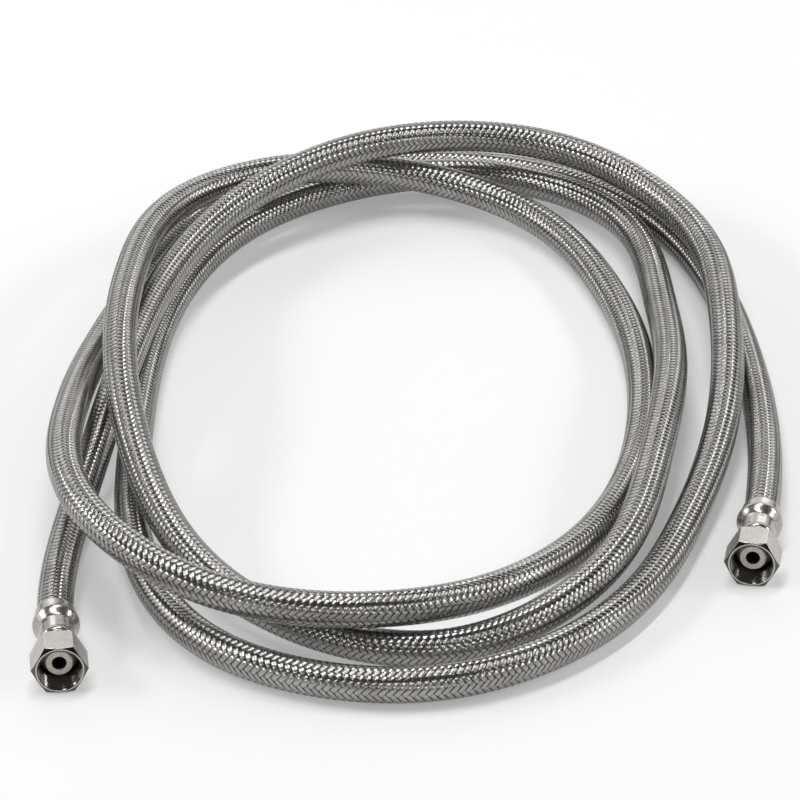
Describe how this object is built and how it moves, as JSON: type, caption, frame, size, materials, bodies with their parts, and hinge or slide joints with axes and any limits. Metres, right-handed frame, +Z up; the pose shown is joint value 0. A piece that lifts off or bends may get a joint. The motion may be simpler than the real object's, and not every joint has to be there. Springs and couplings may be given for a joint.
{
  "type": "ice maker supply line",
  "caption": "Braided flexible water line in a loose oval coil, with a hexagonal swivel nut, cone seal and crimped ferrule on each end.",
  "frame": {"origin": "middle of the coil's footprint, on the surface that it lies on", "axes": "+Z up; the coil is long along Y, and both nuts open towards -Y, the picture's viewer"},
  "size_m": [0.1989, 0.3238, 0.0297],
  "materials": {
    "braided_stainless": "bright woven wire",
    "white_liner": "smooth milky polymer",
    "nickel_plate": "satin nickel plate over brass",
    "pressed_stainless": "pressed and crimped, satin",
    "turned_brass": "turned",
    "pale_seal": "matte"
  },
  "bodies": {
    "hose": {"braided_sleeve": "braided_stainless", "inner_tube": "white_liner", "insert_left": "turned_brass", "insert_right": "turned_brass", "ferrule_left": "pressed_stainless", "ferrule_right": "pressed_stainless", "cone_seal_left": "pale_seal", "cone_seal_right": "pale_seal"},
    "left_nut": {"coupling_nut_left": "nickel_plate"},
    "right_nut": {"coupling_nut_right": "nickel_plate"}
  },
  "joints": [
    {"name": "left_nut_swivel", "type": "hinge", "parent": "hose", "child": "left_nut", "pos_m": [-0.0903, -0.1532, 0.00635], "axis": [-0.1045, 0.9945, 0], "continuous": true},
    {"name": "right_nut_swivel", "type": "hinge", "parent": "hose", "child": "right_nut", "pos_m": [0.0862, -0.0987, 0.00635], "axis": [0.1564, 0.9877, 0], "continuous": true}
  ]
}
